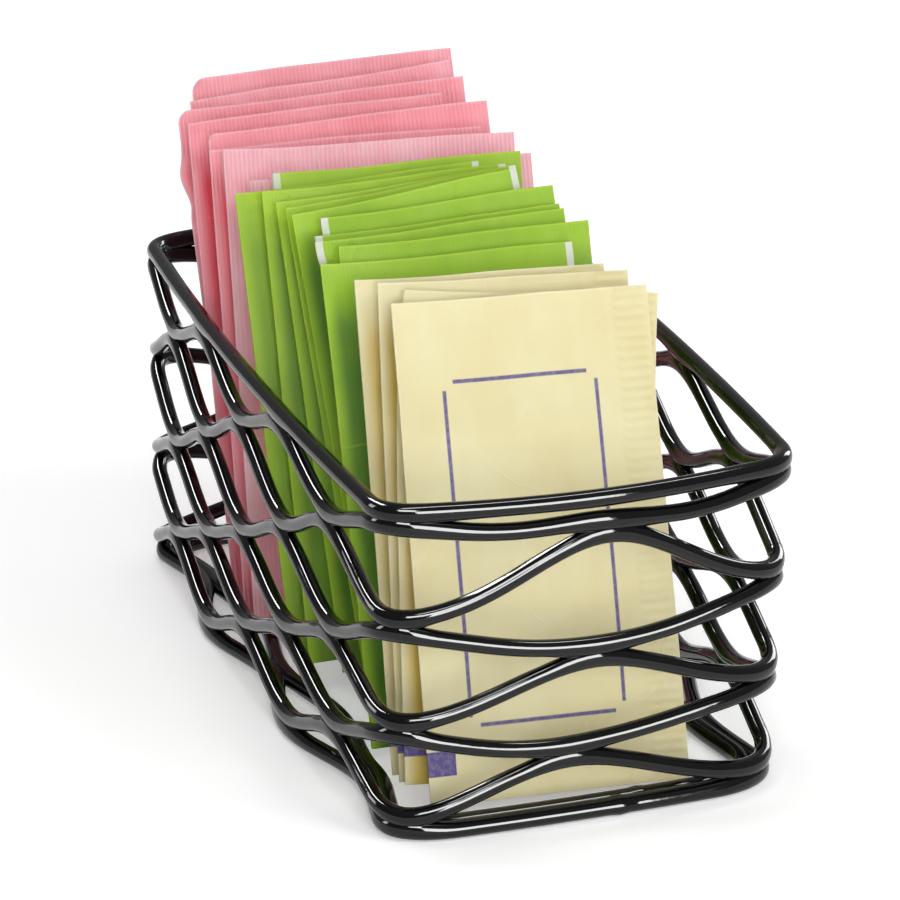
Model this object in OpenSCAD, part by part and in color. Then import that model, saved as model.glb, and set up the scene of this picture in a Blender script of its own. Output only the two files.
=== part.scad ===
// Coated wire basket for sweetener packets, with three kinds of paper packets standing in it.
// Millimetres. The origin is on the table under the middle of the basket.
// +Y is the high back of the basket, +X its right side, +Z up.

/* [Wire] */
// Diameter of the coated wire
wire_d = 2.4; // [1.8:0.1:3]
// Depth by which one wire is melted into the next at a weld
weld_bite = 0.15; // [0.1:0.05:0.3]

/* [Basket] */
// Width of the rim at its front corners, between wire centres
rim_front_width = 58.6; // [50:0.5:90]
// Width of the rim at its back corners, between wire centres
rim_back_width = 59.2; // [50:0.5:90]
// Outward bow of the rim's long sides
rim_side_bow = 2; // [0:0.5:5]
// Outward bow of the rim's front and back
rim_end_bow = 3.8; // [0:0.2:6]
// Width of the base at its front corners, between wire centres
base_front_width = 56.2; // [50:0.5:90]
// Width of the base at its back corners, between wire centres
base_back_width = 61; // [54:0.5:90]
// How much deeper the base is than the rim, between wire centres
base_extra_depth = 0.6; // [0:0.1:3]
// Outward bow of the base's long sides
base_side_bow = 2.3; // [0:0.1:5]
// Outward bow of the base's front and back
base_end_bow = 0.8; // [0:0.1:3]
// Height of the rim wire's centre at the front
rim_front_height = 48.2; // [40:0.5:60]
// Height of the rim wire's centre at the back
rim_back_height = 51.2; // [40:0.5:60]
// How far the base wire scallops inward between the nodes of the long sides
base_scallop = 3.6; // [1:0.2:5]
// Inward lobes of the floor wire at the nodes of the long sides
floor_lobe = 2.4; // [1:0.2:4]

/* [Yellow packets] */
// Width of a yellow packet
yellow_width = 38; // [34:0.5:40]
// Length of a yellow packet, which stands upright
yellow_length = 69.3; // [60:0.5:76]
// Thickness of a yellow packet where it is fullest
yellow_belly = 2.2; // [1.4:0.1:2.4]
// Distance of the front packet's foot behind the rim's front line
yellow_inset = 6.3; // [5.5:0.1:8]
// Free space between the yellow packets and the floor wire on their left
yellow_side_gap = 0.5; // [0.3:0.1:0.8]

/* [Green packets] */
// Width of a green packet
green_width = 38; // [34:0.5:39]
// Length of a green packet, which stands upright
green_length = 70; // [60:0.5:76]
// Thickness of a green packet where it is fullest
green_belly = 2.5; // [1.6:0.1:2.7]
// Free space between the last yellow packet and the first green one, at their feet
green_group_gap = 8; // [5:0.2:9]

/* [Pink packets] */
// Width of a pink packet
pink_width = 45.4; // [40:0.5:47]
// Length of a pink packet, which stands upright
pink_length = 73; // [60:0.5:78]
// Thickness of a pink packet where it is fullest
pink_belly = 4; // [2.4:0.1:4.2]
// Clearance between the last pink packet and the back of the rim, which sets the rim's depth
pink_back_gap = 1.5; // [0.8:0.1:40]

/* [Packets] */
// Thickness of a packet at its crimped ends and folded sides
packet_edge = 0.6; // [0.4:0.1:0.8]
// Free space between one packet and the next
packet_gap = 0.45; // [0.3:0.05:0.5]
// Extra free space between the thick pink packets
pink_extra_gap = 0.1; // [0.1:0.1:0.4]
// Clearance between a packet's foot and what it stands on
foot_gap = 0.3; // [0.3:0.05:0.5]

/* [Hidden] */

wire_r = wire_d / 2;
// Distance between the centres of two wires at a weld
weld_pitch = wire_d - weld_bite;
// Height of the base wire's centre, whose underside lies on the table
base_z = wire_r;

// Heights of the welds between the wave wires, as shares of the basket's height, top down
side_row_shares = [0.828, 0.648, 0.477, 0.325, 0.176];
// The same at the middle of the front
front_row_shares = [0.907, 0.648, 0.516, 0.325, 0.205];
// Where the mid-front weld of each pair of wave wires lies, as a share of the front from its right
front_peak_shares = [0.47, 0.5, 0.56];
// How far the nodes of the left and right sides are drawn back, as shares of a side
left_drift_share = 0.03;
right_drift_share = 0.23;
// Rounding of the corners, as a share of a side, for the rim and the base
rim_round_share = 0.089;
base_round_share = 0.154;
round_samples = 9;

// Steps along one wave, and how closely they crowd towards its nodes
wave_steps = 14;
crowd_share = 0.45;
wire_sides = 8;

function mix(a, b, share) = a + (b - a) * share;
function sum(list, i = 0) = i < len(list) - 1 ? list[i] + sum(list, i + 1) : list[i];
function wrap(u) = u - 8 * floor(u / 8);
function smooth(share) = share * share * (3 - 2 * share);

// A place round the basket runs from 0 at the front left corner, over 3 at the back left
// and 4 at the back right corner, to 7 at the front right corner and back to 8
function side_share(u) =
  let (share = u < 3 ? u / 3 : u < 4 ? 1 : u < 7 ? 1 - (u - 4) / 3 : 0,
       drift = u < 3.5 ? left_drift_share : right_drift_share)
  share + drift * share * (1 - share);

function sharp_outline(u, front_w, back_w, depth, side_bow, end_bow) =
  let (t = side_share(u),
       half = mix(front_w, back_w, t) / 2 + side_bow * 4 * t * (1 - t),
       y = depth * (t - 1 / 2),
       s = u < 4 ? u - 3 : u - 7,
       bow = end_bow * 4 * s * (1 - s))
  u < 3 ? [-half, y]
  : u < 4 ? [back_w * (s - 1 / 2), depth / 2 + bow]
  : u < 7 ? [half, y]
  : [front_w * (1 / 2 - s), -depth / 2 - bow];

function round_outline(u, front_w, back_w, depth, side_bow, end_bow, round_share) =
  sum([for (i = [0:round_samples - 1])
    sharp_outline(wrap(u + round_share * (2 * i / (round_samples - 1) - 1)),
      front_w, back_w, depth, side_bow, end_bow)]) / round_samples;

function rim_plan(u) = round_outline(u, rim_front_width, rim_back_width, rim_depth,
  rim_side_bow, rim_end_bow, rim_round_share);
function base_plan(u, inset = 0) = round_outline(u, base_front_width - 2 * inset,
  base_back_width - 2 * inset, base_depth - 2 * inset, base_side_bow, base_end_bow,
  base_round_share);

function on_side(u) = u < 3 || (u > 4 && u < 7);
function inward(p, distance) = [p[0] - sign(p[0]) * distance, p[1]];

// Height of the basket at a place, from the base wire's centre to the rim wire's
function wall_height(u) =
  mix(rim_front_height, rim_back_height, (rim_plan(u)[1] + rim_depth / 2) / rim_depth) - base_z;

// Height of weld row k above the base wire's centre: row 0 is under the rim, row 6 on the base
function row_height(u, k) =
  let (h = wall_height(u), near = smooth(max(0, 1 - abs(u - 7.5) * 2)))
  k == 0 ? h - weld_pitch / 2
  : k == 6 ? weld_pitch / 2
  : h * mix(side_row_shares[k - 1], front_row_shares[k - 1], near);

// A point of the wall at a place and a height above the base wire's centre
function wall_point(u, height) =
  let (share = height / wall_height(u), low = base_plan(u), high = rim_plan(u))
  [mix(low[0], high[0], share), mix(low[1], high[1], share), base_z + height];

// The front's waves lean to one side: this finds the place of a wave's phase
function front_place(phase, peak_share) =
  let (k = (1 / 2 - peak_share) / (peak_share * (1 - peak_share)))
  abs(k) < 1 / 1000 ? phase : (1 + k - sqrt((1 + k) * (1 + k) - 4 * k * phase)) / (2 * k);

wave_phases = [for (w = [0:7], i = [0:wave_steps - 1])
  let (part = i / wave_steps) w + part - crowd_share * sin(360 * part) / (2 * PI)];

function rim_path() = [for (w = wave_phases) wall_point(w, wall_height(w))];

function wave_path(k) =
  let (peak_share = front_peak_shares[floor((k - 1) / 2)], way = k % 2 == 1 ? 1 : -1)
  [for (w = wave_phases)
    let (u = w < 7 ? w : 7 + front_place(w - 7, peak_share),
         high = row_height(u, k - 1) - weld_pitch / 2,
         low = row_height(u, k) + weld_pitch / 2)
    wall_point(u, (high + low) / 2 + way * (high - low) / 2 * cos(360 * w))];

function base_path() = [for (w = wave_phases)
  let (p = base_plan(w),
       q = on_side(w) ? inward(p, base_scallop * (1 - cos(360 * w)) / 2) : p)
  [q[0], q[1], base_z]];

// The floor wire follows the base wire round the corners and turns inward at the side nodes
function floor_inset(w) =
  let (run = w < 3 ? w : w - 4, wave = cos(360 * w))
  !on_side(w) ? 0
  : run < 1 / 2 || run > 5 / 2 ? base_scallop * (1 - wave) / 2
  : base_scallop + floor_lobe * (1 + wave) / 2;

function floor_path() = [for (w = wave_phases)
  let (q = inward(base_plan(w, weld_pitch), floor_inset(w)))
  [q[0], q[1], base_z]];

// A closed wire swept along a path, with flats facing up, down and sideways
module wire(path) {
  count = len(path);
  reach = wire_r / cos(180 / wire_sides);
  points = [for (i = [0:count - 1])
    let (along = path[(i + 1) % count] - path[(i + count - 1) % count],
         aside = [along[1], -along[0], 0] / norm([along[0], along[1]]),
         above = cross(aside, along) / norm(along))
    for (j = [0:wire_sides - 1])
      let (turn = 360 * (j + 1 / 2) / wire_sides)
      path[i] + reach * (cos(turn) * aside + sin(turn) * above)];
  faces = [for (i = [0:count - 1], j = [0:wire_sides - 1])
    let (a = i * wire_sides + j, b = i * wire_sides + (j + 1) % wire_sides,
         next = ((i + 1) % count - i) * wire_sides)
    each [[a, b, b + next], [a, b + next, a + next]]];
  polyhedron(points = points, faces = faces, convexity = 10);
}

// The fullness of a packet up its length and across its width
length_shares = [[0, 0], [0.07, 0], [0.14, 0.55], [0.26, 0.92], [0.4, 1],
  [0.56, 0.9], [0.74, 0.55], [0.9, 0.1], [0.93, 0], [1, 0]];
width_shares = [[0, 0], [0.04, 0.35], [0.14, 0.8], [0.3, 1],
  [0.7, 1], [0.86, 0.8], [0.96, 0.35], [1, 0]];

function mirrored(points) = concat(points, [for (i = [len(points) - 1:-1:0])
  [-points[i][0], points[i][1]]]);

// A filled paper packet, standing on its lower end with its middle on the Z axis
module packet(width, length, belly) {
  up_side = mirrored([for (s = length_shares)
    [mix(packet_edge, belly, s[1]) / 2, s[0] * length]]);
  across = mirrored([for (s = width_shares)
    [mix(packet_edge, belly, s[1]) / 2, (s[0] - 1 / 2) * width]]);
  intersection() {
    translate([-width / 2, 0, 0]) rotate([90, 0, 90]) linear_extrude(width) polygon(up_side);
    rotate([0, 0, 90]) linear_extrude(length) polygon(across);
  }
}

// Each packet's sideways shift as a share of its width, its lean, its roll and its lift as a
// share of the wire, from the front of its group to the back. Leans and rolls are degrees.
yellow_shares = [[-0.035, 19.2, 1.4, 0], [-0.095, 18.2, 4, 0], [-0.09, 17.9, 2.7, 0],
  [-0.085, 17, 1.8, 0]];
green_shares = [[-0.076, 15.5, 1, 0], [0.01, 15.5, -0.1, 0.45], [0, 15.5, -1.6, 0.5],
  [0.015, 15.5, -1.6, 0.4], [0.06, 15.5, -2.5, 1.05], [0.075, 15.5, -6, 1.1],
  [0.06, 15.5, -4.4, 1.15], [-0.005, 15.5, -2.6, 1.2], [-0.11, 15.5, -0.5, 1.5],
  [-0.157, 15.5, -1.6, 1.2], [-0.042, 15.5, 0.7, 1.6]];
pink_shares = [[-0.005, 14.5, 0.1, 0], [-0.094, 14.5, 1.9, 0.5], [-0.095, 14.6, 0.1, 1],
  [-0.008, 14.7, -1.3, 1.05], [-0.075, 14.8, -1.9, 1.2], [-0.025, 15, -1.6, 1.5],
  [0.085, 15.2, -4.3, 1.5], [0.04, 15.4, -1.5, 2.4]];
yellow_yaw = -1.5;

// Extra room at its foot for a packet that leans less than the one in front of it
function lean_room(length, front_lean, lean) = length * max(0, sin(front_lean) - sin(lean));

// Height of a packet's foot above what it stands on, its middle raised by its roll
function rise(width, place) = place[3] * wire_d + width / 2 * abs(sin(place[2]));

// Feet of a group, each one clear of the packet in front of it along their whole length
function feet(shares, first, pitch, width, length, i = 0) =
  i == len(shares) ? []
  : let (lean = shares[i][1],
         y = i == 0 ? first
           : first + pitch / cos(lean) + lean_room(length, shares[i - 1][1], lean)
             + (rise(width, shares[i]) - rise(width, shares[i - 1])) * tan(lean))
    concat([y], feet(shares, y, pitch, width, length, i + 1));

// Foot lines, measured back from the rim's front line
yellow_feet = feet(yellow_shares, yellow_inset, yellow_belly + packet_gap, yellow_width,
  yellow_length);
green_first = yellow_feet[len(yellow_feet) - 1] + (yellow_belly + green_belly) / 2
  / cos(green_shares[0][1]) + green_group_gap + packet_gap;
green_feet = feet(green_shares, green_first, green_belly + packet_gap, green_width,
  green_length);
green_last = len(green_shares) - 1;
pink_first = green_feet[green_last] + ((green_belly + pink_belly) / 2 + packet_gap)
  / cos(pink_shares[0][1])
  + lean_room(green_length, green_shares[green_last][1], pink_shares[0][1])
  + (rise(pink_width, pink_shares[0]) - rise(green_width, green_shares[green_last]))
  * tan(pink_shares[0][1]);
pink_feet = feet(pink_shares, pink_first, pink_belly + packet_gap + pink_extra_gap,
  pink_width, pink_length);

// The rim is deep enough for all the packets
pink_last = len(pink_shares) - 1;
rim_depth = pink_feet[pink_last] + pink_belly / 2 / cos(pink_shares[pink_last][1])
  + (rim_back_height - foot_gap - rise(pink_width, pink_shares[pink_last]))
  * tan(pink_shares[pink_last][1]) + pink_back_gap;
base_depth = rim_depth + base_extra_depth;

// Inner face of the floor wire on the left, at a foot line
floor_points = floor_path();
function floor_left(y) = wire_r
  + max([for (p = floor_points)
      if (p[0] < 0 && abs(p[1] + rim_depth / 2 - y) < 2 * wire_d) p[0]]);

// The yellow packets stand beside the floor wire, the last one nearest to it
yellow_last = len(yellow_shares) - 1;
yellow_middle = floor_left(yellow_feet[yellow_last]) + yellow_side_gap + yellow_width / 2
  - yellow_shares[yellow_last][0] * yellow_width;

// Puts a packet at its foot line, raised until its lower corner clears what it stands on
module stand(width, y, place, middle = 0, yaw = 0) {
  translate([middle + place[0] * width, y - rim_depth / 2, foot_gap + rise(width, place)])
    rotate([0, 0, yaw]) rotate([-place[1], 0, 0]) rotate([0, place[2], 0]) children();
}

module yellow_packet(i) {
  color("#e9e0a4") stand(yellow_width, yellow_feet[i], yellow_shares[i], yellow_middle,
    yellow_yaw)
    packet(yellow_width, yellow_length, yellow_belly);
}

module green_packet(i) {
  color("#8dbe31") stand(green_width, green_feet[i], green_shares[i])
    packet(green_width, green_length, green_belly);
}

module pink_packet(i) {
  color("#f0909c") stand(pink_width, pink_feet[i], pink_shares[i])
    packet(pink_width, pink_length, pink_belly);
}

module rim_wire() { color("#151517") wire(rim_path()); }
module wave_wire_1() { color("#1a1a1c") wire(wave_path(1)); }
module wave_wire_2() { color("#1f1f22") wire(wave_path(2)); }
module wave_wire_3() { color("#1a1a1c") wire(wave_path(3)); }
module wave_wire_4() { color("#1f1f22") wire(wave_path(4)); }
module wave_wire_5() { color("#1a1a1c") wire(wave_path(5)); }
module wave_wire_6() { color("#1f1f22") wire(wave_path(6)); }
module base_wire() { color("#151517") wire(base_path()); }
module floor_wire() { color("#202024") wire(floor_path()); }

module yellow_packet_1() { yellow_packet(0); }
module yellow_packet_2() { yellow_packet(1); }
module yellow_packet_3() { yellow_packet(2); }
module yellow_packet_4() { yellow_packet(3); }
module green_packet_1() { green_packet(0); }
module green_packet_2() { green_packet(1); }
module green_packet_3() { green_packet(2); }
module green_packet_4() { green_packet(3); }
module green_packet_5() { green_packet(4); }
module green_packet_6() { green_packet(5); }
module green_packet_7() { green_packet(6); }
module green_packet_8() { green_packet(7); }
module green_packet_9() { green_packet(8); }
module green_packet_10() { green_packet(9); }
module green_packet_11() { green_packet(10); }
module pink_packet_1() { pink_packet(0); }
module pink_packet_2() { pink_packet(1); }
module pink_packet_3() { pink_packet(2); }
module pink_packet_4() { pink_packet(3); }
module pink_packet_5() { pink_packet(4); }
module pink_packet_6() { pink_packet(5); }
module pink_packet_7() { pink_packet(6); }
module pink_packet_8() { pink_packet(7); }

rim_wire();
wave_wire_1();
wave_wire_2();
wave_wire_3();
wave_wire_4();
wave_wire_5();
wave_wire_6();
base_wire();
floor_wire();
yellow_packet_1();
yellow_packet_2();
yellow_packet_3();
yellow_packet_4();
green_packet_1();
green_packet_2();
green_packet_3();
green_packet_4();
green_packet_5();
green_packet_6();
green_packet_7();
green_packet_8();
green_packet_9();
green_packet_10();
green_packet_11();
pink_packet_1();
pink_packet_2();
pink_packet_3();
pink_packet_4();
pink_packet_5();
pink_packet_6();
pink_packet_7();
pink_packet_8();
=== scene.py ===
# A coated wire basket with paper sweetener packets, dressed over its CAD frame.
# Metres, +Z up, +Y the high back of the basket.
import math
import random

import bpy
import numpy as np
from mathutils import Matrix, Vector, kdtree, noise


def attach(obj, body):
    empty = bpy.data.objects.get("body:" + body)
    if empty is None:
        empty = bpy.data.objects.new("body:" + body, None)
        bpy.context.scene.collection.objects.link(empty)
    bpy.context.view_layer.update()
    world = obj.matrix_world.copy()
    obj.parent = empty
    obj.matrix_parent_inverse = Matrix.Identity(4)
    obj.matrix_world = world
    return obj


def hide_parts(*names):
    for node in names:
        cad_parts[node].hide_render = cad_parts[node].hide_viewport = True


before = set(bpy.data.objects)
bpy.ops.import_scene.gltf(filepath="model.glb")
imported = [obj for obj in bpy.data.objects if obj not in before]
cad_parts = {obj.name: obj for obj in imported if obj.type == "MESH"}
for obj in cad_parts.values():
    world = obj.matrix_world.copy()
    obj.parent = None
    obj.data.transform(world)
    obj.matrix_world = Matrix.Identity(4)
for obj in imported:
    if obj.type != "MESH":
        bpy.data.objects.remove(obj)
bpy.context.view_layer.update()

MM = 0.001
TAU = 2 * math.pi
WHITE = (1, 1, 1, 1)

# Sizes that follow the frame, in metres
WIRE_D = 2.4 * MM
WIRE_R = WIRE_D / 2
WELD_PITCH = WIRE_D - 0.15 * MM
RIM_FRONT, RIM_BACK, RIM_DEPTH = 58.6 * MM, 59.2 * MM, 114.2 * MM
RIM_SIDE_BOW, RIM_END_BOW = 2 * MM, 3.8 * MM
BASE_FRONT, BASE_BACK, BASE_DEPTH = 56.2 * MM, 61 * MM, 114.8 * MM
BASE_SIDE_BOW, BASE_END_BOW = 2.3 * MM, 0.8 * MM
RIM_FRONT_Z, RIM_BACK_Z, BASE_Z = 48.2 * MM, 51.2 * MM, WIRE_R
BASE_SCALLOP, FLOOR_LOBE = 3.6 * MM, 2.4 * MM

# The heights of the welds between neighbouring wave wires, as shares of the wall, and the place of
# each pair's middle crest across the front
SIDE_ROWS = (0.828, 0.648, 0.477, 0.325, 0.176)
FRONT_ROWS = (0.907, 0.648, 0.516, 0.325, 0.205)
FRONT_PEAKS = (0.47, 0.5, 0.56)

# A phase runs once round the basket: three waves along the left side to LEFT_END, one across the back
# to BACK_END, three along the right side to RIGHT_END, and one across the front. A side's waves get
# shorter towards the back by its drift, and a corner is rounded over a share of a wave.
WAVE_WIRES, WAVES, SIDE_WAVES = 6, 8, 3
LEFT_END, BACK_END, RIGHT_END = 3, 4, 7
BACK_MIDDLE, FRONT_MIDDLE = 3.5, 7.5
LEFT_DRIFT, RIGHT_DRIFT = 0.03, 0.23
RIM_CORNER_SHARE, BASE_CORNER_SHARE = 0.089, 0.154
STEPS_PER_WAVE = 40
PHASES = np.arange(WAVES * STEPS_PER_WAVE) / STEPS_PER_WAVE

# The coating, where it pools at the welds and where a wire's ends meet
FILLET_REACH, FILLET_SOFTNESS = 1.8 * MM, 3.6
FLASH_HEIGHT, FLASH_WIDTH, FLASH_REACH = 0.16 * MM, 0.45 * MM, 4 * MM
BUTT_JOINTS = {"base_wire": 7.42, "floor_wire": 7.36}

# The camera, and its focal length and picture width in pixels
CAMERA_PLACE = (-178.113 * MM, -514.631 * MM, 236.855 * MM)
CAMERA_YAW, CAMERA_PITCH, CAMERA_ROLL = 0.333232, -0.357645, -0.00263
SENSOR_WIDTH, FOCAL_PIXELS, PICTURE_PIXELS = 36, 3951.05, 900


def make_active(piece):
    bpy.ops.object.select_all(action="DESELECT")
    piece.select_set(True)
    bpy.context.view_layer.objects.active = piece


def place_camera():
    yaw, pitch, roll = CAMERA_YAW, CAMERA_PITCH, CAMERA_ROLL
    ahead = Vector((math.sin(yaw) * math.cos(pitch), math.cos(yaw) * math.cos(pitch), math.sin(pitch)))
    right = ahead.cross(Vector((0, 0, 1))).normalized()
    up = right.cross(ahead)
    turned_right = right * math.cos(roll) + up * math.sin(roll)
    turned_up = up * math.cos(roll) - right * math.sin(roll)
    bpy.ops.object.camera_add(location=CAMERA_PLACE)
    camera = bpy.context.object
    camera.name = "photo_camera"
    camera.rotation_euler = Matrix((turned_right, turned_up, -ahead)).transposed().to_euler()
    camera.data.sensor_width = SENSOR_WIDTH
    camera.data.lens = SENSOR_WIDTH * FOCAL_PIXELS / PICTURE_PIXELS
    camera.data.clip_start = 0.01
    camera.data.clip_end = 20
    bpy.context.scene.camera = camera


# Shader helpers


class Wiring:
    """Adds nodes to a tree and links them."""

    def __init__(self, tree):
        self.tree = tree
        self.column = 0

    def add(self, kind, **settings):
        node = self.tree.nodes.new(kind)
        node.location = (self.column * 180, 0)
        self.column += 1
        for key, value in settings.items():
            setattr(node, key, value)
        return node

    def link(self, source, target):
        self.tree.links.new(source, target)

    def feed(self, socket, value):
        if hasattr(value, "is_output"):
            self.link(value, socket)
        else:
            socket.default_value = value

    def math(self, operation, first, second=0.0, third=0.0, clamp=False):
        node = self.add("ShaderNodeMath", operation=operation, use_clamp=clamp)
        for socket, value in zip(node.inputs, (first, second, third)):
            self.feed(socket, value)
        return node.outputs[0]

    def times(self, first, second):
        return self.math("MULTIPLY", first, second)

    def plus(self, first, second):
        return self.math("ADD", first, second)

    def larger(self, first, second):
        return self.math("MAXIMUM", first, second)

    def ramp(self, value, low, high, out_low=0.0, out_high=1.0):
        node = self.add("ShaderNodeMapRange", interpolation_type="SMOOTHSTEP")
        for key, item in (("Value", value), ("From Min", low), ("From Max", high),
                          ("To Min", out_low), ("To Max", out_high)):
            self.feed(node.inputs[key], item)
        return node.outputs[0]

    def between(self, value, low, high, soft):
        rising = self.ramp(value, low - soft, low + soft)
        falling = self.ramp(value, high - soft, high + soft, 1.0, 0.0)
        return self.times(rising, falling)

    def mix(self, share, first, second):
        node = self.add("ShaderNodeMix", data_type="RGBA")
        self.feed(node.inputs[0], share)
        self.feed(node.inputs[6], first)
        self.feed(node.inputs[7], second)
        return node.outputs[2]

    def noise(self, vector, scale, detail, rough=0.5, stretch=None):
        if stretch:
            mapping = self.add("ShaderNodeMapping")
            self.link(vector, mapping.inputs["Vector"])
            mapping.inputs["Scale"].default_value = stretch
            vector = mapping.outputs[0]
        node = self.add("ShaderNodeTexNoise")
        self.link(vector, node.inputs["Vector"])
        self.feed(node.inputs["Scale"], scale)
        node.inputs["Detail"].default_value = detail
        node.inputs["Roughness"].default_value = rough
        return node.outputs["Fac"]

    def pattern(self, group, **values):
        node = self.add("ShaderNodeGroup")
        node.node_tree = group
        for key, value in values.items():
            self.feed(node.inputs[key], value)
        return node.outputs

    def bump(self, height, distance, strength):
        node = self.add("ShaderNodeBump")
        self.link(height, node.inputs["Height"])
        node.inputs["Distance"].default_value = distance
        node.inputs["Strength"].default_value = strength
        return node.outputs[0]

    def put_out(self, height, shade):
        out = self.add("NodeGroupOutput")
        self.link(height, out.inputs["Height"])
        self.link(shade, out.inputs["Shade"])


def new_pattern(name, **inputs):
    """A node group that puts out a height and a shade over the surface."""
    group = bpy.data.node_groups.new(name, "ShaderNodeTree")
    for label, value in inputs.items():
        kind = "NodeSocketVector" if isinstance(value, tuple) else "NodeSocketFloat"
        group.interface.new_socket(label, in_out="INPUT", socket_type=kind).default_value = value
    for label in ("Height", "Shade"):
        group.interface.new_socket(label, in_out="OUTPUT", socket_type="NodeSocketFloat")
    w = Wiring(group)
    return group, w, w.add("NodeGroupInput").outputs


def paper_fibre_pattern():
    group, w, given = new_pattern("paper_fibre", Vector=(0.0, 0.0, 0.0), Grain=900.0)
    fine = w.noise(given["Vector"], given["Grain"], detail=4, rough=0.6)
    cloudy = w.noise(given["Vector"], 70.0, detail=3, rough=0.55)
    w.put_out(w.plus(w.times(fine, 0.5), w.times(cloudy, 0.5)), w.ramp(cloudy, 0.3, 0.7))
    return group


def crimp_rib_pattern():
    group, w, given = new_pattern("crimp_ribs", Along=0.0, Ribs=60.0, Band=1.0, Vector=(0.0, 0.0, 0.0))
    waver = w.times(w.noise(given["Vector"], 160.0, detail=1), 0.25)
    turn = w.times(w.plus(w.times(given["Along"], given["Ribs"]), waver), TAU)
    rib = w.math("MULTIPLY_ADD", w.math("SINE", turn), 0.5, 0.5)
    # The crimping wheel does not press the paper evenly
    patchy = w.ramp(w.noise(given["Vector"], 90.0, detail=2), 0.25, 0.6, 0.35, 1.0)
    press = w.times(given["Band"], patchy)
    # The shade put out here is painted shade, darkest in the grooves between the ribs
    w.put_out(w.times(rib, press), w.times(w.math("SUBTRACT", 1.0, rib), press))
    return group


def crease_line_pattern():
    group, w, given = new_pattern("crease_lines", Vector=(0.0, 0.0, 0.0), Amount=1.0)
    bend = w.noise(given["Vector"], 60.0, detail=2)
    shifted = w.add("ShaderNodeVectorMath", operation="MULTIPLY_ADD")
    w.link(given["Vector"], shifted.inputs[0])
    shifted.inputs[1].default_value = (1.0, 1.0, 0.8)
    combined = w.add("ShaderNodeCombineXYZ")
    for socket in combined.inputs:
        w.link(w.times(bend, 0.02), socket)
    w.link(combined.outputs[0], shifted.inputs[2])
    cells = w.add("ShaderNodeTexVoronoi", feature="DISTANCE_TO_EDGE")
    w.link(shifted.outputs[0], cells.inputs["Vector"])
    cells.inputs["Scale"].default_value = 75.0
    line = w.ramp(cells.outputs["Distance"], 0.0, 0.035, 1.0, 0.0)
    patch = w.ramp(w.noise(given["Vector"], 45.0, detail=2), 0.5, 0.62)
    crease = w.times(w.times(line, patch), given["Amount"])
    w.put_out(crease, crease)
    return group


PAPER_FIBRE = paper_fibre_pattern()
CRIMP_RIBS = crimp_rib_pattern()
CREASE_LINES = crease_line_pattern()


def start_material(name):
    material = bpy.data.materials.new(name)
    material.use_nodes = True
    return material, Wiring(material.node_tree), material.node_tree.nodes["Principled BSDF"]


# Coating

COATING_BLACK, COATING_DUST = (0.0022, 0.0022, 0.0025, 1), (0.014, 0.014, 0.015, 1)


def coated_wire_material():
    material, w, shader = start_material("black_dipped_coating")
    place = w.add("ShaderNodeTexCoord").outputs["Object"]
    pooled = w.noise(place, 220.0, detail=3)
    dust = w.noise(place, 1400.0, detail=2, rough=0.7)
    speck = w.ramp(dust, 0.7, 0.78, 0.0, 0.35)
    w.link(w.mix(speck, COATING_BLACK, COATING_DUST), shader.inputs["Base Color"])
    rough = w.plus(w.ramp(pooled, 0.3, 0.75, 0.05, 0.10), w.times(speck, 0.15))
    w.link(rough, shader.inputs["Roughness"])
    height = w.plus(pooled, w.times(dust, 0.03))
    w.link(w.bump(height, distance=0.1 * MM, strength=0.4), shader.inputs["Normal"])
    shader.inputs["IOR"].default_value = 1.4
    return material


# Papers

# Each paper's plain, deep and pale colour, and its crimp ribs: their count, the way across which they
# are counted, the bands that they fill as shares of the other way, and their depth and the painted
# shade in their grooves
YELLOW_PAPER = dict(
    colour=(0.80, 0.74, 0.45, 1), deep=(0.60, 0.42, 0.06, 1), pale=(0.86, 0.80, 0.56, 1),
    rib_count=49.0, ribs_up=True, rib_bands=((0.862, 0.985),), rib_height=0.7, painted_rib_shade=0.13, crease=0.6)
GREEN_PAPER = dict(
    colour=(0.345, 0.57, 0.028, 1), deep=(0.07, 0.19, 0.026, 1), pale=(0.47, 0.66, 0.05, 1),
    rib_count=64.0, ribs_up=False, rib_bands=((-0.2, 0.09), (0.91, 1.2)), rib_height=0.05, painted_rib_shade=0.05,
    crease=0.35)
PINK_PAPER = dict(
    colour=(0.95, 0.38, 0.43, 1), deep=(0.76, 0.05, 0.08, 1), pale=(0.96, 0.63, 0.70, 1),
    rib_count=66.0, ribs_up=False, rib_bands=((-0.2, 0.085), (0.905, 1.2)), rib_height=0.45, painted_rib_shade=0.24,
    crease=0.45)
RIB_BAND_SOFT = 0.016

# The yellow packets' plain frame and square mark, as shares of the packet's width and length
FRAME_UPRIGHTS, FRAME_UPRIGHT_SPAN = ((0.168, 0.182), (0.757, 0.771)), (0.17, 0.82)
FRAME_LEVELS, FRAME_LEVEL_SPAN = ((0.149, 0.157), (0.833, 0.841)), (0.21, 0.73)
MARK_ACROSS, MARK_UP, MARK_SOFT = (-0.2, 0.108), (0.058, 0.108), 0.001
SOFT_ACROSS, SOFT_UP = 0.0025, 0.0014
FRAME_INK = (0.105, 0.08, 0.26, 1)

# Where the green packets' white strip starts across them. A face without it is drawn from this share
# of the paper, which stops short of the strip.
STRIP_EDGE, NO_STRIP_SHARE = (0.968, 0.972), 0.96
STRIP_WHITE = (0.74, 0.76, 0.68, 1)

# The lapped seam across the back of the pink packets
SEAM_ACROSS, SEAM_SOFT = (0.4, 0.585), 0.004

# The back's V starts at this value, so that the material can tell the back from the front
BACK_V = 2.0


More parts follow.
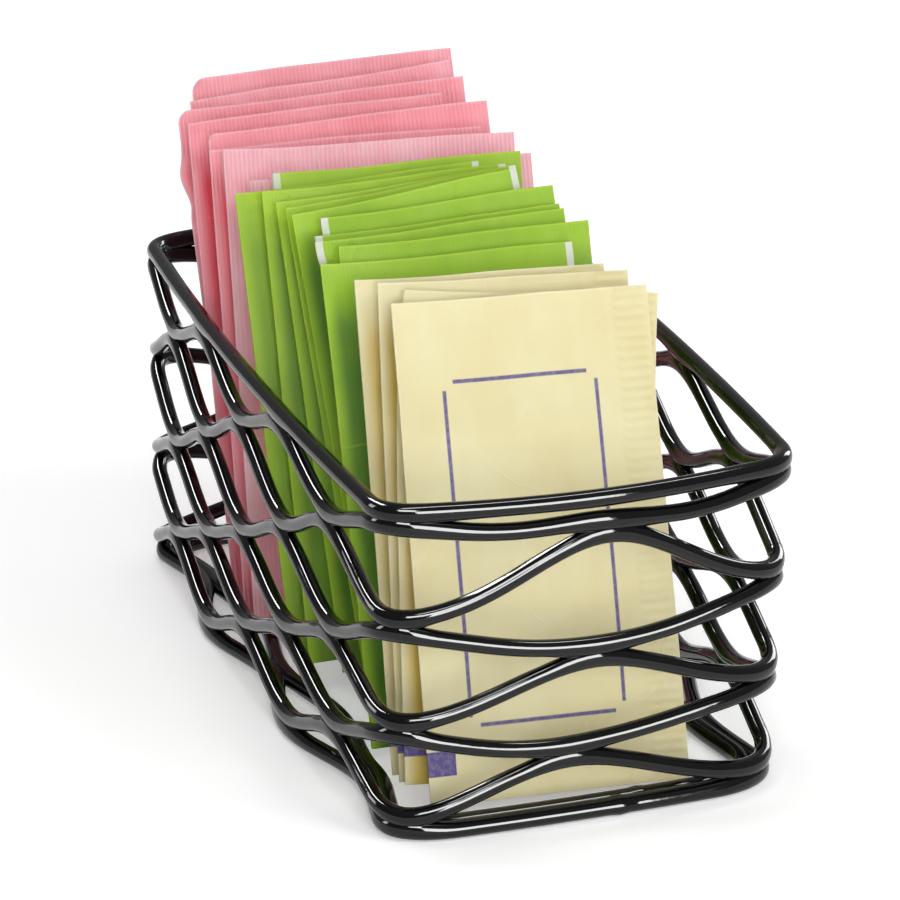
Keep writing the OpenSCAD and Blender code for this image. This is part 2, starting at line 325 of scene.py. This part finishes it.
def paper_base(name, colour, deep, pale, rib_count, ribs_up, rib_bands, rib_height, painted_rib_shade, crease):
    """Paper with crimp ribs. The UV map's U runs across the packet and V up it.

    An attribute sets how deep the painted shade goes beside the sides of the front, where the packet in
    front shades this one, and the pale attribute is how much paler the whole packet is.
    """
    material, w, shader = start_material(name)
    texture = w.add("ShaderNodeTexCoord")
    place = texture.outputs["Object"]
    split = w.add("ShaderNodeSeparateXYZ")
    w.link(texture.outputs["UV"], split.inputs[0])
    back = w.math("GREATER_THAN", split.outputs["Y"], BACK_V - 0.5)
    u = split.outputs["X"]
    v = w.math("SUBTRACT", split.outputs["Y"], w.times(back, BACK_V))
    painted_shade_depth = w.add("ShaderNodeAttribute", attribute_name="painted_shade_depth").outputs["Fac"]
    paler = w.add("ShaderNodeAttribute", attribute_name="pale").outputs["Fac"]

    counted, filled = (v, u) if ribs_up else (u, v)
    band = None
    for low, high in rib_bands:
        part = w.between(filled, low, high, RIB_BAND_SOFT)
        band = part if band is None else w.larger(band, part)
    fibre = w.pattern(PAPER_FIBRE, Vector=place)
    ribs = w.pattern(CRIMP_RIBS, Along=counted, Ribs=rib_count, Band=band, Vector=place)
    creases = w.pattern(CREASE_LINES, Vector=place, Amount=crease)
    streaks = w.noise(place, 260.0, detail=2, stretch=(1.0, 1.0, 0.12))

    # Painted shade, where the packet in front shades this one: beside the edges of the front, below the top
    # crimp
    from_side = w.math("SUBTRACT", 0.5, w.math("ABSOLUTE", w.math("SUBTRACT", u, 0.5)))
    painted_side_shade = w.times(w.ramp(from_side, 0.0, 0.06), w.ramp(from_side, 0.11, 0.37, 1.0, 0.0))
    painted_side_shade = w.times(painted_side_shade, w.ramp(v, 0.86, 0.965, 1.0, 0.0))
    painted_side_shade = w.times(painted_side_shade, w.ramp(streaks, 0.25, 0.7, 0.85, 1.0))
    painted_side_shade = w.times(painted_side_shade, w.math("MULTIPLY_ADD", back, -0.75, 1.0))
    # A painted highlight along the cut edges of the sides and the top
    painted_edge_highlight = w.larger(w.ramp(from_side, 0.0, 0.007, 1.0, 0.0), w.ramp(v, 0.994, 0.9985))

    shade = w.mix(paler, colour, pale)
    for share, other in ((w.times(fibre["Shade"], 0.14), deep),
                         (w.times(w.ramp(streaks, 0.35, 0.7), 0.08), deep),
                         # painted shade in the grooves between the crimp ribs
                         (w.times(ribs["Shade"], painted_rib_shade), deep),
                         # painted shade beside the sides, where the packet in front shades this one
                         (w.times(painted_side_shade, painted_shade_depth), deep),
                         (w.times(creases["Shade"], 0.5), pale),
                         # a painted highlight along the cut edges
                         (w.times(painted_edge_highlight, 0.5), pale)):
        shade = w.mix(share, shade, other)
    height = w.plus(w.times(ribs["Height"], rib_height),
                    w.plus(w.times(fibre["Height"], 0.12), w.times(creases["Height"], 0.7)))
    made = dict(u=u, v=v, back=back, shade=shade, height=height, place=place, fibre=fibre)
    return material, w, shader, made


def finish_paper(w, shader, made, rough):
    w.link(made["shade"], shader.inputs["Base Color"])
    w.link(w.ramp(made["fibre"]["Shade"], 0.0, 1.0, rough, rough + 0.12), shader.inputs["Roughness"])
    w.link(w.bump(made["height"], distance=0.22 * MM, strength=0.8), shader.inputs["Normal"])
    shader.inputs["Specular IOR Level"].default_value = 0.1


def yellow_paper_material():
    material, w, shader, made = paper_base("pale_yellow_paper", **YELLOW_PAPER)
    u, v = made["u"], made["v"]
    # A plain thin frame, and the square mark at the edge that a filling machine reads
    left, right = (w.between(u, *line, SOFT_ACROSS) for line in FRAME_UPRIGHTS)
    low, high = (w.between(v, *line, SOFT_UP) for line in FRAME_LEVELS)
    uprights = w.times(w.larger(left, right), w.between(v, *FRAME_UPRIGHT_SPAN, SOFT_UP))
    levels = w.times(w.larger(low, high), w.between(u, *FRAME_LEVEL_SPAN, SOFT_ACROSS))
    lines = w.times(w.larger(uprights, levels), w.math("SUBTRACT", 1.0, made["back"]))
    mark = w.times(w.between(u, *MARK_ACROSS, MARK_SOFT), w.between(v, *MARK_UP, MARK_SOFT))
    worn = w.ramp(w.noise(made["place"], 1500.0, detail=2), 0.3, 0.62, 0.88, 1.0)
    printed = w.times(w.larger(w.times(lines, 0.95), mark), worn)
    made["shade"] = w.mix(printed, made["shade"], FRAME_INK)
    finish_paper(w, shader, made, rough=0.64)
    return material


def green_paper_material():
    material, w, shader, made = paper_base("yellow_green_paper", **GREEN_PAPER)
    # The white strip along one side
    strip = w.ramp(made["u"], *STRIP_EDGE)
    faded = w.ramp(w.noise(made["place"], 400.0, detail=2), 0.3, 0.7, 0.85, 1.0)
    made["shade"] = w.mix(w.times(strip, faded), made["shade"], STRIP_WHITE)
    finish_paper(w, shader, made, rough=0.54)
    return material


def pink_paper_material():
    material, w, shader, made = paper_base("rose_paper", **PINK_PAPER)
    # The lapped seam down the middle of the back, and faint ribs all over
    seam = w.times(w.between(made["u"], *SEAM_ACROSS, SEAM_SOFT), made["back"])
    faint = w.math("SINE", w.times(made["u"], TAU * PINK_PAPER["rib_count"]))
    made["height"] = w.plus(w.plus(made["height"], w.times(seam, 0.7)), w.times(faint, 0.07))
    finish_paper(w, shader, made, rough=0.68)
    return material


# Wires


def by_stretch(u, left, back, right, front):
    """The value for the stretch of the basket that each phase lies in."""
    return np.select([u < LEFT_END, u < BACK_END, u < RIGHT_END], [left, back, right], front)


def side_share(u):
    """How far back a phase lies, from 0 along the front to 1 along the back."""
    t = by_stretch(u, u / SIDE_WAVES, 1.0, 1 - (u - BACK_END) / SIDE_WAVES, 0.0)
    drift = np.where(u < BACK_MIDDLE, LEFT_DRIFT, RIGHT_DRIFT)
    return t + drift * t * (1 - t)


def sharp_outline(u, front_w, back_w, depth, side_bow, end_bow):
    """The plan of a level wire with sharp corners, and sides and ends that bow out."""
    t = side_share(u)
    half = (front_w + (back_w - front_w) * t) / 2 + side_bow * 4 * t * (1 - t)
    side_y = depth * (t - 0.5)
    s = np.where(u < BACK_END, u - LEFT_END, u - RIGHT_END)
    bow = end_bow * 4 * s * (1 - s)
    x = by_stretch(u, -half, back_w * (s - 0.5), half, front_w * (0.5 - s))
    y = by_stretch(u, side_y, depth / 2 + bow, side_y, -depth / 2 - bow)
    return np.stack([x, y], -1)


def round_outline(u, corner_share, *sizes):
    """The sharp outline averaged over a stretch of phases, which rounds its corners."""
    turns = np.linspace(-1, 1, 9) * corner_share
    return sum(sharp_outline(np.mod(u + turn, WAVES), *sizes) for turn in turns) / len(turns)


def rim_plan(u):
    return round_outline(u, RIM_CORNER_SHARE, RIM_FRONT, RIM_BACK, RIM_DEPTH, RIM_SIDE_BOW, RIM_END_BOW)


def base_plan(u, inset=0.0):
    return round_outline(u, BASE_CORNER_SHARE, BASE_FRONT - 2 * inset, BASE_BACK - 2 * inset,
                         BASE_DEPTH - 2 * inset, BASE_SIDE_BOW, BASE_END_BOW)


def wall_height(u):
    share = (rim_plan(u)[:, 1] + RIM_DEPTH / 2) / RIM_DEPTH
    return RIM_FRONT_Z + (RIM_BACK_Z - RIM_FRONT_Z) * share - BASE_Z


def row_height(u, k):
    """The height over the base wire of the welds under wave wire k, or under the rim where k is 0."""
    h = wall_height(u)
    if k == 0:
        return h - WELD_PITCH / 2
    if k == WAVE_WIRES:
        return np.full_like(u, WELD_PITCH / 2)
    near = np.clip(1 - np.abs(u - FRONT_MIDDLE) * 2, 0, 1)
    near = near * near * (3 - 2 * near)
    return h * (SIDE_ROWS[k - 1] + (FRONT_ROWS[k - 1] - SIDE_ROWS[k - 1]) * near)


def wall_points(u, height):
    share = (height / wall_height(u))[:, None]
    plan = base_plan(u) * (1 - share) + rim_plan(u) * share
    return np.column_stack([plan, BASE_Z + height])


def wave_points(k):
    """A wave wire swings between the welds above it and those below it."""
    # The crest across the front may lie off its middle
    peak = FRONT_PEAKS[(k - 1) // 2]
    skew = (0.5 - peak) / (peak * (1 - peak))
    front = PHASES - RIGHT_END
    if abs(skew) > 0.001:
        front = (1 + skew - np.sqrt(np.maximum((1 + skew) ** 2 - 4 * skew * front, 0))) / (2 * skew)
    u = np.where(PHASES < RIGHT_END, PHASES, RIGHT_END + front)
    high = row_height(u, k - 1) - WELD_PITCH / 2
    low = row_height(u, k) + WELD_PITCH / 2
    way = 1 if k % 2 else -1
    return wall_points(u, (high + low) / 2 + way * (high - low) / 2 * np.cos(TAU * PHASES))


def on_side(u):
    return (u < LEFT_END) | ((u > BACK_END) & (u < RIGHT_END))


def floor_level_points(wire):
    """The base wire is scalloped along the sides, and the floor wire turns inward at the side nodes."""
    wave = np.cos(TAU * PHASES)
    scallop = BASE_SCALLOP * (1 - wave) / 2
    if wire == "base_wire":
        plan, inset = base_plan(PHASES), scallop
    else:
        run = np.where(PHASES < LEFT_END, PHASES, PHASES - BACK_END)
        plan = base_plan(PHASES, WELD_PITCH)
        near_corner = (run < 0.5) | (run > SIDE_WAVES - 0.5)
        inset = np.where(near_corner, scallop, BASE_SCALLOP + FLOOR_LOBE * (1 + wave) / 2)
    inset = np.where(on_side(PHASES), inset, 0.0)
    x = plan[:, 0] - np.sign(plan[:, 0]) * inset
    return np.column_stack([x, plan[:, 1], np.full_like(x, BASE_Z)])


def all_wire_routes():
    routes = {"rim_wire": wall_points(PHASES, wall_height(PHASES))}
    for k in range(1, WAVE_WIRES + 1):
        routes[f"wave_wire_{k}"] = wave_points(k)
    for wire in ("base_wire", "floor_wire"):
        routes[wire] = floor_level_points(wire)
    return routes


def coating_fillets(piece, name, routes):
    """Swells the coating where another wire comes close, as dipped coating pools at a weld."""
    others = []
    for other, route in routes.items():
        if other == name:
            continue
        ahead = np.roll(route, -1, axis=0)
        for share in (0.0, 0.25, 0.5, 0.75):
            others.append(route * (1 - share) + ahead * share)
    points = np.concatenate(others)
    tree = kdtree.KDTree(len(points))
    for index, point in enumerate(points):
        tree.insert(point, index)
    tree.balance()
    for vertex in piece.data.vertices:
        distance = tree.find(vertex.co)[2] - WIRE_R
        if distance < FILLET_REACH:
            near = (FILLET_REACH - max(distance, 0.0)) / FILLET_REACH
            vertex.co += vertex.normal * (near * near * FILLET_REACH / FILLET_SOFTNESS)
            vertex.co.z = max(vertex.co.z, 0.0)


def butt_joint(piece, route, phase):
    """The slight ring of flash where a wire's two ends meet."""
    centre = Vector(route[int(round(phase * STEPS_PER_WAVE)) % len(route)])
    for vertex in piece.data.vertices:
        if (vertex.co - centre).length < FLASH_REACH:
            along = abs(vertex.co.x - centre.x)
            vertex.co += vertex.normal * (FLASH_HEIGHT * math.exp(-(along / FLASH_WIDTH) ** 2))
            vertex.co.z = max(vertex.co.z, 0.0)


def make_wire(name, routes, material):
    """A closed wire: its route is a curve with a round section, made a mesh before its coating is added."""
    route = routes[name]
    bpy.ops.mesh.primitive_circle_add(vertices=len(route), radius=RIM_FRONT / 2, location=(0, 0, 0))
    ring = bpy.context.object
    ring.data.vertices.foreach_set("co", route.astype(np.float32).ravel())
    make_active(ring)
    bpy.ops.object.convert(target="CURVE")
    curve = bpy.context.object
    curve.name = name + "_coated"
    curve.data.dimensions = "3D"
    curve.data.bevel_depth = WIRE_R
    curve.data.bevel_resolution = 8
    curve.data.twist_mode = "Z_UP"
    make_active(curve)
    bpy.ops.object.convert(target="MESH")
    wire = bpy.context.object
    bpy.ops.object.mode_set(mode="EDIT")
    bpy.ops.mesh.select_all(action="SELECT")
    bpy.ops.mesh.remove_doubles(threshold=0.01 * MM)
    bpy.ops.mesh.normals_make_consistent(inside=False)
    bpy.ops.object.mode_set(mode="OBJECT")
    coating_fillets(wire, name, routes)
    if name in BUTT_JOINTS:
        butt_joint(wire, route, BUTT_JOINTS[name])
    bpy.ops.object.shade_smooth()
    wire.data.materials.clear()
    wire.data.materials.append(material)
    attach(wire, "basket")
    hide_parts(name)


# Packets

# Width, length and fullest thickness, and for each packet from the front its sideways shift as a
# share of the width, its lean and its roll in degrees, and its lift as a share of the wire
YELLOW = dict(width=38 * MM, length=69.3 * MM, belly=2.2 * MM, yaw=-1.5, places=(
    (-0.035, 19.2, 1.4, 0), (-0.095, 18.2, 4, 0), (-0.09, 17.9, 2.7, 0), (-0.085, 17, 1.8, 0)))
GREEN = dict(width=38 * MM, length=70 * MM, belly=2.5 * MM, yaw=0, places=(
    (-0.076, 15.5, 1, 0), (0.01, 15.5, -0.1, 0.45), (0, 15.5, -1.6, 0.5), (0.015, 15.5, -1.6, 0.4),
    (0.06, 15.5, -2.5, 1.05), (0.075, 15.5, -6, 1.1), (0.06, 15.5, -4.4, 1.15),
    (-0.005, 15.5, -2.6, 1.2), (-0.11, 15.5, -0.5, 1.5), (-0.157, 15.5, -1.6, 1.2),
    (-0.042, 15.5, 0.7, 1.6)))
PINK = dict(width=45.4 * MM, length=73 * MM, belly=4 * MM, yaw=0, places=(
    (-0.005, 14.5, 0.1, 0), (-0.094, 14.5, 1.9, 0.5), (-0.095, 14.6, 0.1, 1),
    (-0.008, 14.7, -1.3, 1.05), (-0.075, 14.8, -1.9, 1.2), (-0.025, 15, -1.6, 1.5),
    (0.085, 15.2, -4.3, 1.5), (0.04, 15.4, -1.5, 2.4)))
PACKET_GAP, PINK_EXTRA_GAP, FOOT_GAP = 0.45 * MM, 0.1 * MM, 0.3 * MM
YELLOW_INSET, GREEN_GROUP_GAP = 6.3 * MM, 8 * MM

# How each packet differs, from the front: trim is what is lost in millimetres at the left edge, the
# right edge, and the left and right ends of the top edge, and fade is how fast the side trims run out
# downwards. Wave and shift are the waviness of the top edge, corner is the radius of a round left top
# corner, and bulges are where the left edge stands out. A flipped green packet has its strip at the
# left, and tucked draws its left edge in below the top. The depth of the painted shade at the sides,
# and pale, are told in paper_base.
USUAL_FADE, USUAL_WAVE = 1.2, 0.2
LOOKS = {
    "yellow": (
        dict(trim=(0, 0.8, 0, 0), painted_shade_depth=0.0, low_fill=0.34, bend=0.1, curl=0.1, wave=0.1),
        dict(trim=(2.2, -1.3, 1.0, 2.5), painted_shade_depth=0.95, fade=5),
        dict(trim=(0.4, 1.0, 0, 0), painted_shade_depth=1.0),
        dict(trim=(-1.1, 2.6, 0, 0), painted_shade_depth=0.8)),
    "green": (
        dict(trim=(-1.9, 2.3, 0.9, 0.9), painted_shade_depth=0.85),
        dict(trim=(-0.3, 0.6, 0, 0), painted_shade_depth=0.85, strip=False),
        dict(trim=(-0.5, 0.6, 0.1, 0.1), painted_shade_depth=0.85, flip=True, tucked=1.7),
        dict(trim=(0, 0.8, 0, 0.1), painted_shade_depth=0.85, flip=True, tucked=1.8),
        dict(trim=(1.0, 1.35, 0.1, 0.4), painted_shade_depth=0.8, flip=True, tucked=1.2),
        dict(trim=(1.2, 2.0, 0, 0.4), painted_shade_depth=0.85, pale=0.1),
        dict(trim=(0, 2.2, 0.1, 0.1), painted_shade_depth=0.85, pale=0.15),
        dict(trim=(-0.25, 1.5, 0.25, 0.25), painted_shade_depth=0.8, pale=0.35),
        dict(trim=(0, 0.2, 0.2, 0.2), painted_shade_depth=0.7, pale=0.4),
        dict(trim=(-0.2, 0.2, 0.3, 0.25), painted_shade_depth=0.45, pale=0.4),
        dict(trim=(-0.5, -0.35, 0.25, 0.2), painted_shade_depth=0.5, pale=0.45, flip=True)),
    "pink": (
        dict(trim=(0, 1.2, 1.1, 1.1), pale=0.8),
        dict(trim=(-0.5, 0, 0.2, 0.35), painted_shade_depth=0.25, pale=0.85),
        dict(trim=(0.9, 1.4, 1.1, 1.3), painted_shade_depth=0.95, pale=0.1, shift=0.3),
        dict(trim=(0, 0.5, 0.1, 0.15), painted_shade_depth=0.95, pale=0.05, corner=1.2, shift=0.1),
        dict(trim=(2.0, 2.6, 0, 0.2), painted_shade_depth=0.95, pale=0.15, shift=0.4),
        dict(trim=(-0.9, -0.2, 0, 0), painted_shade_depth=0.9, pale=0.2, corner=2.2,
             bulges=((0.862, 0.035, 0.8), (0.80, 0.02, -0.3))),
        dict(trim=(1.0, 1.5, 0, 0.5), painted_shade_depth=0.85, pale=0.35, shift=0.6),
        dict(trim=(1.2, 1.6, 0, 0), painted_shade_depth=0.8, pale=0.3, corner=2.4, shift=0.2)),
}

# The filled sheet: its grid, its thickness at the crimps, where its filling starts and how far up it
# goes, and how high its puckers, waves and uneven cuts stand
GRID_ACROSS, GRID_UP = 44, 84
CRIMP_THICKNESS, FULLEST_SHARE, LUMP_SHARE = 0.34 * MM, 0.93, 0.16
FILL_FOOT_SHARE, FILL_LENGTH_SHARE = 0.075, 0.85
PUCKER_THICKNESS, PUCKER_SWAY, EDGE_SWAY, CUT_SWAY = 0.18 * MM, 0.10 * MM, 0.22 * MM, 0.12 * MM
SHARPEST_FOLD = 50


def sine(degrees):
    return math.sin(math.radians(degrees))


def cosine(degrees):
    return math.cos(math.radians(degrees))


def smooth(value, low, high):
    share = min(1.0, max(0.0, (value - low) / (high - low)))
    return share * share * (3 - 2 * share)


def lean_room(length, front_lean, lean):
    """The room that a packet needs at its foot where it stands steeper than the one before it."""
    return length * max(0.0, sine(front_lean) - sine(lean))


def foot_rise(kind, place):
    return place[3] * WIRE_D + kind["width"] / 2 * abs(sine(place[2]))


def feet(kind, first, pitch):
    """Where the packets of a group stand along the basket."""
    ys = [first]
    for before, place in zip(kind["places"], kind["places"][1:]):
        lean = place[1]
        ys.append(ys[-1] + pitch / cosine(lean) + lean_room(kind["length"], before[1], lean)
                  + (foot_rise(kind, place) - foot_rise(kind, before)) * sine(lean) / cosine(lean))
    return ys


def all_feet():
    yellow = feet(YELLOW, YELLOW_INSET - RIM_DEPTH / 2, YELLOW["belly"] + PACKET_GAP)
    green = feet(GREEN, yellow[-1] + (YELLOW["belly"] + GREEN["belly"]) / 2 / cosine(GREEN["places"][0][1])
                 + GREEN_GROUP_GAP + PACKET_GAP, GREEN["belly"] + PACKET_GAP)
    last, first = GREEN["places"][-1], PINK["places"][0]
    pink = feet(PINK, green[-1] + ((GREEN["belly"] + PINK["belly"]) / 2 + PACKET_GAP) / cosine(first[1])
                + lean_room(GREEN["length"], last[1], first[1])
                + (foot_rise(PINK, first) - foot_rise(GREEN, last)) * sine(first[1]) / cosine(first[1]),
                PINK["belly"] + PACKET_GAP + PINK_EXTRA_GAP)
    return yellow, green, pink


def packet_place(kind, place, y):
    return (Matrix.Translation((place[0] * kind["width"], y, FOOT_GAP + foot_rise(kind, place)))
            @ Matrix.Rotation(math.radians(kind["yaw"]), 4, "Z")
            @ Matrix.Rotation(-math.radians(place[1]), 4, "X")
            @ Matrix.Rotation(math.radians(place[2]), 4, "Y"))


def trimmed(u, v, width, length, look):
    """A point of the flat packet. Paper bends and is cut a little unevenly, so each packet has its own
    small losses in millimetres at its left and right edge and at both ends of its top edge."""
    left, right, top_left, top_right = look["trim"]
    near_top = v ** look.get("fade", USUAL_FADE)
    left = left * near_top
    if "tucked" in look:
        left += look["tucked"] * (1 - smooth(v, 0.86, 0.985)) * smooth(v, 0.05, 0.5)
    for middle, reach, amount in look.get("bulges", ()):
        left -= amount * math.exp(-((v - middle) / reach) ** 2)
    drop = top_left + (top_right - top_left) * u
    drop += look.get("wave", USUAL_WAVE) * math.sin(TAU * (u * 0.9 + look.get("shift", 0.0)))
    x = (u - 0.5) * width + (left * (1 - u) - right * near_top * u) * MM
    return x, v * (length - max(0.0, drop) * MM)


def rounded_corner(u, v, x, z, width, length, radius):
    """Pulls the points near the left top corner onto a round one."""
    across = ((1 - u) * width - (width - radius)) / radius
    above = (v * length - (length - radius)) / radius
    if across <= 0 or above <= 0:
        return x, z
    new_across = across * math.sqrt(max(0.0, 1 - above * above / 2))
    new_above = above * math.sqrt(max(0.0, 1 - across * across / 2))
    return x - (new_across - across) * radius, z + (new_above - above) * radius


def fullness(outward, v, low_fill):
    """How full the packet is at a point: flat in its crimps and folds, fullest low down."""
    inner = min(1.0, max(0.0, (v - FILL_FOOT_SHARE) / FILL_LENGTH_SHARE))
    rising = min(1.0, inner / low_fill)
    falling = min(1.0, (1 - inner) / (1 - low_fill))
    up = math.sin(rising * math.pi / 2) ** 0.8 * math.sin(falling * math.pi / 2) ** 0.9
    return up * (1 - outward ** 3.2) ** 0.7


def shape_sheet(packet, kind, look, chance):
    """Bends and puckers the flat grid, and keeps the fullness of each point in the fill group."""
    width, length, belly = kind["width"], kind["length"], kind["belly"]
    seed = Vector((chance.uniform(-50, 50), chance.uniform(-50, 50), chance.uniform(-50, 50)))
    bend = look.get("bend", chance.uniform(-0.5, 0.5)) * MM
    curl = look.get("curl", chance.uniform(-0.35, 0.35)) * MM
    low_fill = look.get("low_fill", chance.uniform(0.3, 0.42))
    fill = packet.vertex_groups.new(name="fill")
    for vertex in packet.data.vertices:
        u, v = vertex.co.x + 0.5, vertex.co.y + 0.5
        outward = abs(2 * u - 1)
        x, z = trimmed(u, v, width, length, look)
        full = fullness(outward, v, low_fill)
        # Puckers run out of the crimps and fade towards the middle
        near_end = math.exp(-min(v, 1 - v) * 9) + 0.6 * math.exp(-(1 - outward) * 7)
        pucker = noise.noise(Vector((u * 9, v * 3.5, 0)) + seed) * near_end
        lumps = noise.noise(Vector((u * 3, v * 5, 3)) + seed) * full
        thick = CRIMP_THICKNESS + (belly * FULLEST_SHARE - CRIMP_THICKNESS) * full * (1 + LUMP_SHARE * lumps)
        thick += PUCKER_THICKNESS * abs(pucker) * (full + 0.15)
        # The whole packet is bent a little, and its free top edge waves
        sway = bend * (v ** 3) + curl * (v ** 4) * math.cos(u * math.pi * 1.4 + seed.x)
        wave = EDGE_SWAY * noise.noise(Vector((u * 2.6, v * 1.4, 7)) + seed) * (0.3 + v)
        wave += PUCKER_SWAY * pucker
        if "corner" in look:
            x, z = rounded_corner(u, v, x, z, width, length, look["corner"] * MM)
        # Cut edges are never quite straight
        if v > 0.999:
            z -= CUT_SWAY * (0.5 + 0.5 * noise.noise(Vector((u * 4, 0, 11)) + seed))
        if outward > 0.999:
            x -= math.copysign(CUT_SWAY * (0.5 + 0.5 * noise.noise(Vector((v * 5, 0, 13)) + seed)), x)
        vertex.co = (x, sway + wave, z)
        fill.add([vertex.index], min(1.0, thick / belly), "REPLACE")


def fill_sheet(packet, belly):
    """Gives the sheet its thickness by the fill group."""
    solid = packet.modifiers.new("filled", "SOLIDIFY")
    solid.thickness = belly
    solid.offset = 0
    solid.vertex_group = "fill"
    solid.use_even_offset = False
    make_active(packet)
    bpy.ops.object.modifier_apply(modifier="filled")
    bpy.ops.object.mode_set(mode="EDIT")
    bpy.ops.mesh.select_all(action="SELECT")
    bpy.ops.mesh.normals_make_consistent(inside=False)
    bpy.ops.object.mode_set(mode="OBJECT")
    packet.vertex_groups.clear()


def lay_paper_map(mesh, look):
    """Turns the UV map for a flipped packet, and moves the back's V up."""
    layer = mesh.uv_layers.active.data
    flip = look.get("flip", False)
    for face in mesh.polygons:
        lift = BACK_V if face.normal.y > 0.3 else 0.0
        # A packet that stands the other way round has its strip on its back alone
        widest = NO_STRIP_SHARE if not look.get("strip", True) and lift == 0 else 1.0
        for index in face.loop_indices:
            spot = layer[index].uv
            across = (1 - spot.x if flip else spot.x) * widest
            layer[index].uv = (across, min(spot.y, 0.9999) + lift)
    # Each packet's depth of painted shade at its sides, and how much paler it is
    for label in ("painted_shade_depth", "pale"):
        attribute = mesh.attributes.new(label, "FLOAT", "POINT")
        attribute.data.foreach_set("value", [look.get(label, 0.0)] * len(mesh.vertices))


def make_packet(group, number, kind, place, y, material, look):
    """A filled paper sachet: a sheet is bent and puckered, then given its varying fullness."""
    name = f"{group}_packet_{number}"
    bpy.ops.mesh.primitive_grid_add(x_subdivisions=GRID_ACROSS, y_subdivisions=GRID_UP, size=1,
                                    location=(0, 0, 0))
    packet = bpy.context.object
    packet.name = name + "_paper"
    mesh = packet.data
    shape_sheet(packet, kind, look, random.Random(name))
    fill_sheet(packet, kind["belly"])
    lay_paper_map(mesh, look)
    mesh.transform(packet_place(kind, place, y))
    bpy.ops.object.shade_smooth_by_angle(angle=math.radians(SHARPEST_FOLD))
    mesh.materials.clear()
    mesh.materials.append(material)
    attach(packet, name + "_body")
    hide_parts(name)


# Light and floor

# Each lamp's name, place in metres, size across and up, and power. Lamps light the colours, and cards
# show in the gloss alone. A card may run along a way of its own.
LAMPS = (
    ("key_softbox", (1.10, -0.99, 1.38), 0.8, 0.8, 12.5),
    ("front_softbox", (-0.42, -2.05, 0.62), 1.4, 1.0, 23.0),
    ("top_softbox", (-0.1, 0.25, 1.15), 0.6, 0.6, 5.0))
CARDS = (
    ("front_card", (0.06, -1.06, 0.36), 0.75, 0.5, 33.0),
    ("left_front_card", (-0.437, -0.821, 0.706), 0.4, 0.35, 12.0),
    ("overhead_card", (0.1, -0.15, 1.1), 1.2, 0.08, 9.0),
    ("back_strip", (-0.337, 0.515, 0.94), 0.8, 0.16, 17.0, (0.36, 0.86, -0.36)),
    ("left_card", (-1.0, 0.3, 0.42), 0.3, 0.5, 5.0),
    ("right_card", (1.0, 0.5, 0.42), 0.3, 0.5, 5.0))
LIGHT_TARGET = (0, 0, 0.03)
TABLE_SIZE, TABLE_GREY, TABLE_LIFT = 6, 0.92, 0.3
ROOM_DARK, ROOM_LIGHT = 0.19, 0.33


def area_light(seen_in, name, place, size_across, size_up, power, along=None):
    bpy.ops.object.light_add(type="AREA", location=place)
    light = bpy.context.object
    light.name = name
    ahead = (Vector(LIGHT_TARGET) - Vector(place)).normalized()
    across = Vector(along) if along else ahead.cross(Vector((0, 0, 1)))
    across = (across - ahead * across.dot(ahead)).normalized()
    light.rotation_euler = Matrix((across, across.cross(ahead), -ahead)).transposed().to_euler()
    light.data.shape = "RECTANGLE"
    light.data.size = size_across
    light.data.size_y = size_up
    light.data.energy = power
    light.visible_glossy = seen_in == "gloss"
    light.visible_diffuse = seen_in == "colours"
    light.visible_transmission = seen_in == "gloss"


def white_table():
    bpy.ops.mesh.primitive_plane_add(size=TABLE_SIZE, location=(0, 0, 0))
    table = bpy.context.object
    table.name = "white_table"
    material, w, shader = start_material("white_sweep")
    shader.inputs["Base Color"].default_value = (TABLE_GREY, TABLE_GREY, TABLE_GREY, 1)
    shader.inputs["Roughness"].default_value = 0.9
    shader.inputs["Specular IOR Level"].default_value = 0.1
    # Where it is looked at, the table is lifted to white, and its shadow is kept
    path = w.add("ShaderNodeLightPath").outputs
    looked_at = w.plus(path["Is Camera Ray"], path["Is Glossy Ray"])
    looked_at = w.math("ADD", looked_at, path["Is Transmission Ray"], clamp=True)
    shader.inputs["Emission Color"].default_value = WHITE
    w.link(w.times(looked_at, TABLE_LIFT), shader.inputs["Emission Strength"])
    table.data.materials.append(material)


def studio_room():
    """The room is dim, and lightest at the right and above. The white backdrop stands behind."""
    world = bpy.data.worlds.new("white_studio")
    bpy.context.scene.world = world
    world.use_nodes = True
    w = Wiring(world.node_tree)
    background = world.node_tree.nodes["Background"]
    path = w.add("ShaderNodeLightPath").outputs
    direction = w.add("ShaderNodeSeparateXYZ")
    w.link(w.add("ShaderNodeTexCoord").outputs["Generated"], direction.inputs[0])
    x, y, z = direction.outputs
    room = w.ramp(w.plus(w.times(x, 0.7), w.times(z, 0.5)), -0.6, 0.9, ROOM_DARK, ROOM_LIGHT)
    backdrop = w.times(w.ramp(y, -0.1, 0.5), w.ramp(z, 0.3, 0.75, 0.1, 0.0))
    mirrored = w.math("ADD", path["Is Glossy Ray"], path["Is Transmission Ray"], clamp=True)
    shown = w.math("ADD", path["Is Camera Ray"], w.times(mirrored, backdrop), clamp=True)
    w.link(w.mix(shown, room, WHITE), background.inputs["Color"])
    background.inputs["Strength"].default_value = 1.0


def build():
    place_camera()
    routes = all_wire_routes()
    coating = coated_wire_material()
    for name in routes:
        make_wire(name, routes, coating)
    yellow, green, pink = all_feet()
    for group, kind, ys, paper in (("yellow", YELLOW, yellow, yellow_paper_material()),
                                   ("green", GREEN, green, green_paper_material()),
                                   ("pink", PINK, pink, pink_paper_material())):
        for index, (place, y) in enumerate(zip(kind["places"], ys)):
            make_packet(group, index + 1, kind, place, y, paper, LOOKS[group][index])
    white_table()
    studio_room()
    for lamp in LAMPS:
        area_light("colours", *lamp)
    for card in CARDS:
        area_light("gloss", *card)


build()

scene = bpy.context.scene
scene.view_settings.view_transform = "Standard"
